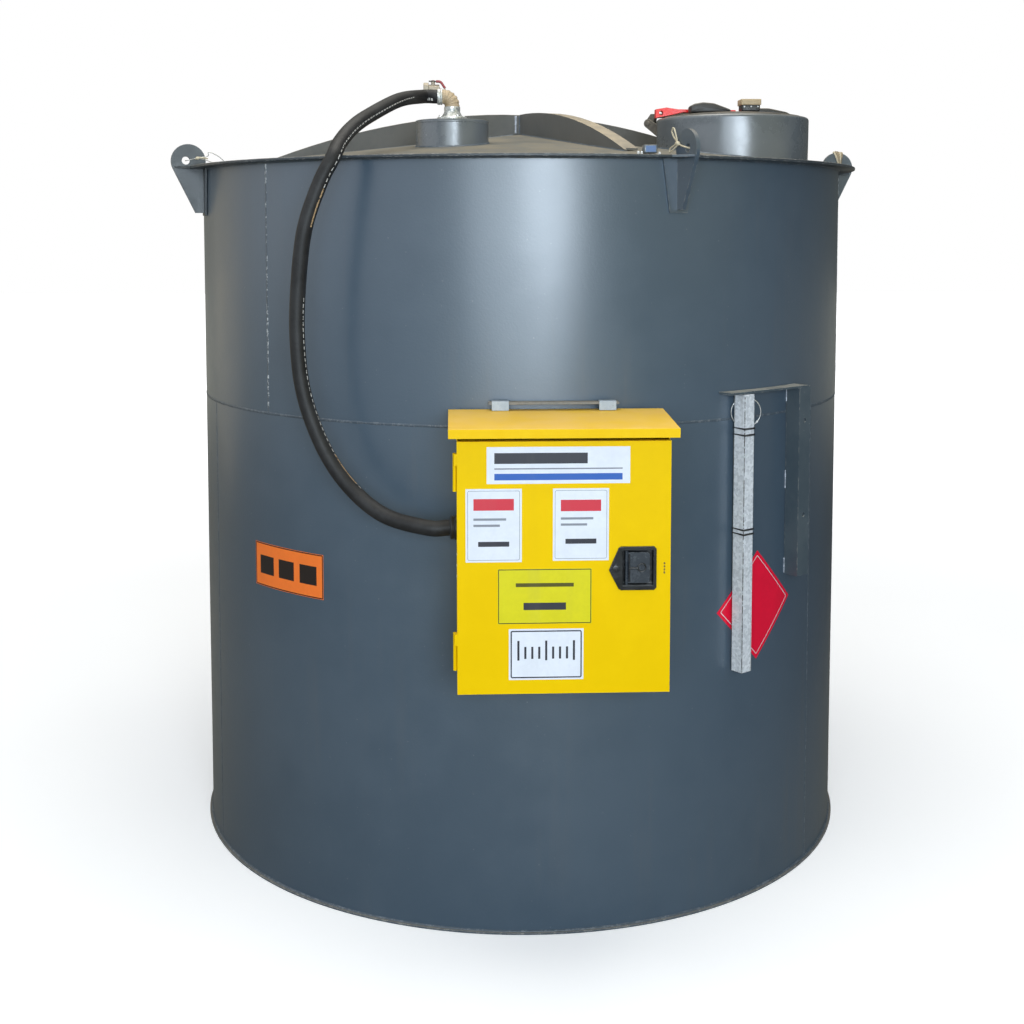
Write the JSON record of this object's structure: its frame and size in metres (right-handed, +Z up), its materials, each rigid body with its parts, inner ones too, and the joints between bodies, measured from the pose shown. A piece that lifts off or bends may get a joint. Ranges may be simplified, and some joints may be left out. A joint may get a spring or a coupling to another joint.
{
  "type": "vertical fuel storage tank",
  "caption": "Upright round steel storage tank with a ribbed cone roof, manhole, lifting lugs, pickup hose and a sheet steel cabinet with a hinged door.",
  "frame": {"origin": "middle of the round base, on the ground", "axes": "+Z up, -Y towards the side with the cabinet, +X to the right seen from there"},
  "size_m": [2.3342, 2.5558, 2.4579],
  "materials": {
    "slate_paint": "glossy slate grey paint",
    "yellow_paint": "glossy yellow powder coat",
    "black_plastic": "satin black plastic",
    "black_rubber": "matt black rubber",
    "galvanised": "galvanised, dull",
    "red_paint": "red paint",
    "pale_strap": "pale grey paint"
  },
  "bodies": {
    "tank": {"bottom_plate": "slate_paint", "lower_course_1": "slate_paint", "lower_course_2": "slate_paint", "lower_course_3": "slate_paint", "upper_course_1": "slate_paint", "upper_course_2": "slate_paint", "upper_course_3": "slate_paint", "rim_flange": "slate_paint", "roof_plate_1": "slate_paint", "roof_plate_2": "slate_paint", "roof_plate_3": "slate_paint", "roof_plate_4": "slate_paint", "roof_rib_long": "slate_paint", "roof_rib_front": "slate_paint", "roof_rib_back": "slate_paint", "lifting_lug_1": "slate_paint", "lifting_lug_2": "slate_paint", "lifting_lug_3": "slate_paint", "lifting_lug_4": "slate_paint", "manhole_neck": "slate_paint", "lid_hinge": "slate_paint", "pickup_stub": "slate_paint", "pickup_reducer": "galvanised", "pickup_elbow": "galvanised", "pickup_valve": "galvanised", "fill_hose": "black_rubber", "hose_gland": "black_rubber", "cabinet_back": "yellow_paint", "cabinet_left_side": "yellow_paint", "cabinet_right_side": "yellow_paint", "cabinet_floor": "yellow_paint", "cabinet_header": "yellow_paint", "cabinet_roof": "yellow_paint", "hanger_bar": "slate_paint", "hanger_strap_left": "pale_strap", "hanger_strap_right": "pale_strap", "wall_bracket": "slate_paint", "galvanised_angle_1": "galvanised", "galvanised_angle_2": "galvanised", "gauge_box": "slate_paint"},
    "lid": {"manhole_lid": "black_plastic", "lid_bar": "red_paint", "lid_vent": "black_plastic", "lid_hinge_arm": "black_plastic"},
    "lever": {"valve_lever": "red_paint"},
    "door": {"cabinet_door": "yellow_paint", "latch_plate": "black_plastic"},
    "paddle": {"latch_paddle": "black_plastic"}
  },
  "joints": [
    {"name": "manhole_lid_hinge", "type": "hinge", "parent": "tank", "child": "lid", "pos_m": [0.4391, -0.1204, 2.35], "axis": [-0.4848, -0.8746, 0], "range_deg": [0, 100]},
    {"name": "valve_lever_turn", "type": "hinge", "parent": "tank", "child": "lever", "pos_m": [-0.298, -0.451, 2.46], "axis": [0, 0, 1], "range_deg": [0, 90]},
    {"name": "cabinet_door_hinge", "type": "hinge", "parent": "tank", "child": "door", "pos_m": [-0.2352, -1.3325, 1.1], "axis": [0, 0, -1], "range_deg": [0, 115]},
    {"name": "latch_paddle_hinge", "type": "hinge", "parent": "door", "child": "paddle", "pos_m": [0.2075, -1.356, 1.117], "axis": [0, 0, -1], "range_deg": [0, 50]}
  ]
}
